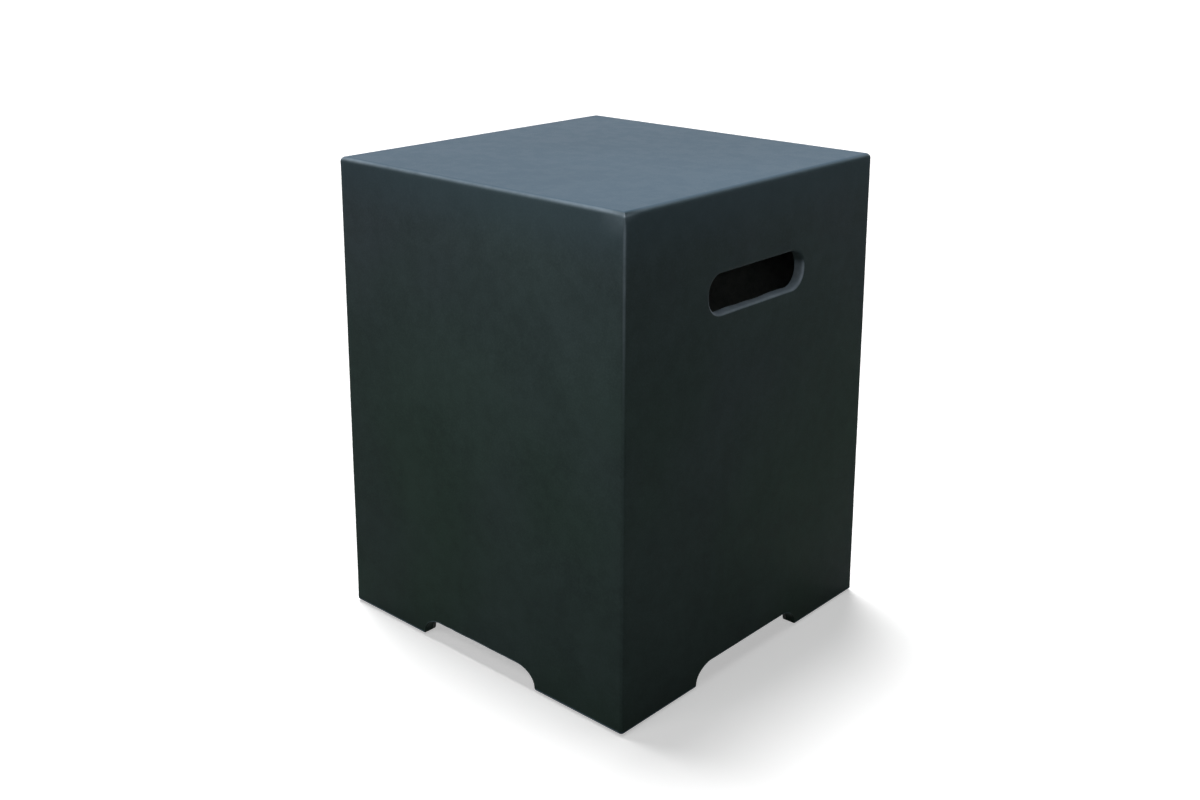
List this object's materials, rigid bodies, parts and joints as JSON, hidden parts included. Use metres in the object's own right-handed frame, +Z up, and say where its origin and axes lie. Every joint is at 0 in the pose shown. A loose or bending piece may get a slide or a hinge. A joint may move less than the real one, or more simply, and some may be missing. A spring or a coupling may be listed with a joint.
{
  "type": "propane tank cover table",
  "caption": "Square hollow concrete cover table, open below, with handle slots in two sides and low arches between its corner feet.",
  "frame": {"origin": "on the floor under the middle of the square footprint", "axes": "+Z up through the table top, +X out of one slotted side, +Y out of one plain side"},
  "size_m": [0.41, 0.41, 0.517],
  "materials": {
    "concrete": "satin",
    "pad_rubber": "matte"
  },
  "bodies": {
    "root": {"cast_shell": "concrete", "foot_pad_front_left": "pad_rubber", "foot_pad_front_right": "pad_rubber", "foot_pad_back_left": "pad_rubber", "foot_pad_back_right": "pad_rubber"}
  },
  "joints": []
}
